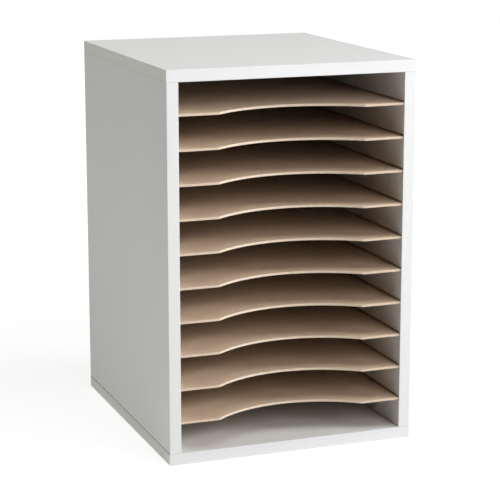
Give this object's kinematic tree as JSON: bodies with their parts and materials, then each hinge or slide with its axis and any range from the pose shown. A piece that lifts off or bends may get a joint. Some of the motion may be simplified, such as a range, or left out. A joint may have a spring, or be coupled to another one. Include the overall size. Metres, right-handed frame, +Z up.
{
  "type": "vertical desktop sorter",
  "caption": "Upright desk-top paper sorter: a laminated cabinet, open at the front, with thin captive shelves whose front edges are hollowed by an arc for the hand.",
  "frame": {"origin": "middle of the base, on the surface it stands on", "axes": "+Z up, the open front faces -Y, +X to the right as seen from the front"},
  "size_m": [0.2698, 0.3016, 0.4064],
  "materials": {
    "laminated_board": "pale grey laminate on particle board, satin",
    "front_band": "white plastic edging, satin",
    "end_band": "pale warm grey plastic edging, satin",
    "shelf_hardboard": "smooth tan hardboard, screen-textured below",
    "back_hardboard": "bare hardboard, smooth side inwards, screen-textured outside",
    "dowel_wood": "bare beech, fluted",
    "nail_steel": "zinc-plated"
  },
  "bodies": {
    "root": {"top_panel": "laminated_board", "bottom_panel": "laminated_board", "left_side_panel": "laminated_board", "right_side_panel": "laminated_board", "back_panel": "back_hardboard", "shelf_01": "shelf_hardboard", "shelf_02": "shelf_hardboard", "shelf_03": "shelf_hardboard", "shelf_04": "shelf_hardboard", "shelf_05": "shelf_hardboard", "shelf_06": "shelf_hardboard", "shelf_07": "shelf_hardboard", "shelf_08": "shelf_hardboard", "shelf_09": "shelf_hardboard", "shelf_10": "shelf_hardboard", "top_front_band": "front_band", "bottom_front_band": "front_band", "left_front_band": "front_band", "right_front_band": "front_band", "top_left_end_band": "end_band", "top_right_end_band": "end_band", "bottom_left_end_band": "end_band", "bottom_right_end_band": "end_band", "top_left_dowels": "dowel_wood", "top_right_dowels": "dowel_wood", "bottom_left_dowels": "dowel_wood", "bottom_right_dowels": "dowel_wood", "back_nails": "nail_steel"}
  },
  "joints": []
}
